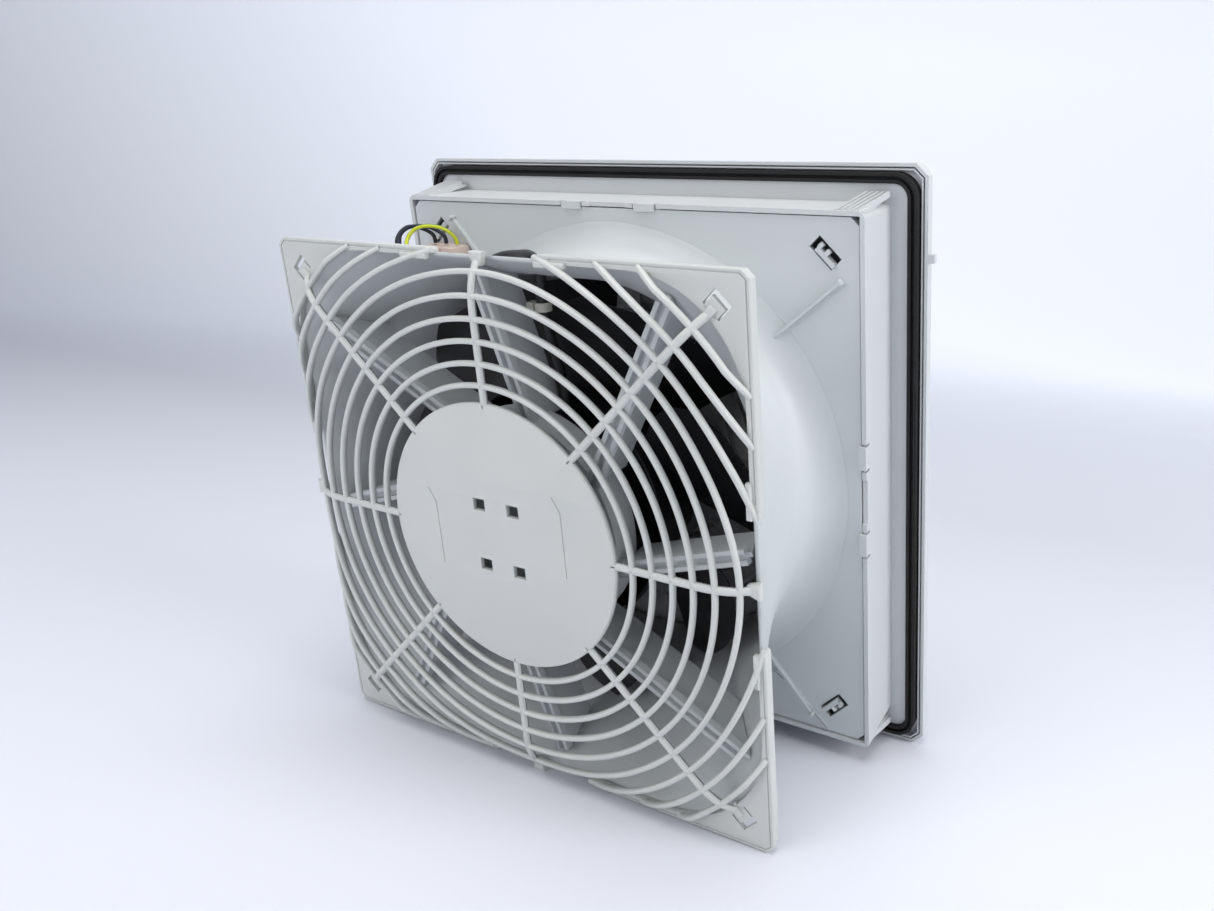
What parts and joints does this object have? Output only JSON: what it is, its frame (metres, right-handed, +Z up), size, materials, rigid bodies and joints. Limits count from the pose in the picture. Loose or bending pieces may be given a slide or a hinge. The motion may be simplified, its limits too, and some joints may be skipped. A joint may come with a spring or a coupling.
{
  "type": "filter fan",
  "caption": "Square filter fan for an enclosure panel: louvred front with gasket, snap-in fan carrier, flared duct and axial impeller behind a domed ring guard.",
  "frame": {"origin": "centre of the panel cut-out, on the fan axis, at the plane where the foam gasket meets the panel", "axes": "+Z up, fan axis along Y with +Y into the enclosure toward the guard and -Y out of the louvred front, +X to the left as seen from the enclosure"},
  "size_m": [0.3294, 0.1538, 0.323],
  "materials": {
    "frame_plastic": "satin moulded",
    "louvre_plastic": "satin moulded",
    "grid_plastic": "satin moulded",
    "carrier_plastic": "satin moulded",
    "duct_plastic": "satin moulded",
    "spider_plastic": "satin moulded",
    "guard_plastic": "satin moulded",
    "gasket_foam": "matt foam",
    "filter_fleece": "lofted fleece",
    "impeller_plastic": "fine grain",
    "cup_coating": "satin",
    "magnet_ferrite": "sintered",
    "shaft_steel": "ground",
    "bearing_steel": "polished",
    "lamination_steel": "stamped",
    "winding_copper": "enamelled",
    "flange_aluminium": "cast",
    "screw_zinc": "zinc plated",
    "ring_steel": "spring steel",
    "terminal_plastic": "satin",
    "lead_black": "satin",
    "lead_blue": "satin",
    "lead_green_yellow": "satin",
    "sleeve_black": "satin",
    "tie_nylon": "satin"
  },
  "bodies": {
    "housing": {"mounting_frame": "frame_plastic", "panel_gasket": "gasket_foam", "filter_mat": "filter_fleece", "inlet_grid": "grid_plastic", "fan_carrier": "carrier_plastic", "air_duct": "duct_plastic", "motor_spider": "spider_plastic", "fan_guard": "guard_plastic", "front_bearing": "bearing_steel", "rear_bearing": "bearing_steel", "stator_core": "lamination_steel", "stator_windings": "winding_copper", "motor_flange": "flange_aluminium", "motor_screws": "screw_zinc", "spring_washer": "ring_steel", "terminal_block": "terminal_plastic", "terminal_screws": "screw_zinc", "lead_live": "lead_black", "lead_neutral": "lead_blue", "lead_earth": "lead_green_yellow", "lead_sleeve": "sleeve_black", "lead_tie": "tie_nylon"},
    "rotor": {"impeller": "impeller_plastic", "rotor_cup": "cup_coating", "magnet_ring": "magnet_ferrite", "motor_shaft": "shaft_steel", "shaft_ring": "ring_steel"},
    "louvre": {"louvre_grille": "louvre_plastic"}
  },
  "joints": [
    {"name": "fan_spin", "type": "hinge", "parent": "housing", "child": "rotor", "pos_m": [0, 0, 0], "axis": [0, 1, 0], "continuous": true},
    {"name": "louvre_hinge", "type": "hinge", "parent": "housing", "child": "louvre", "pos_m": [0, -0.01655, -0.139], "axis": [1, 0, 0], "range_deg": [0, 85]}
  ]
}
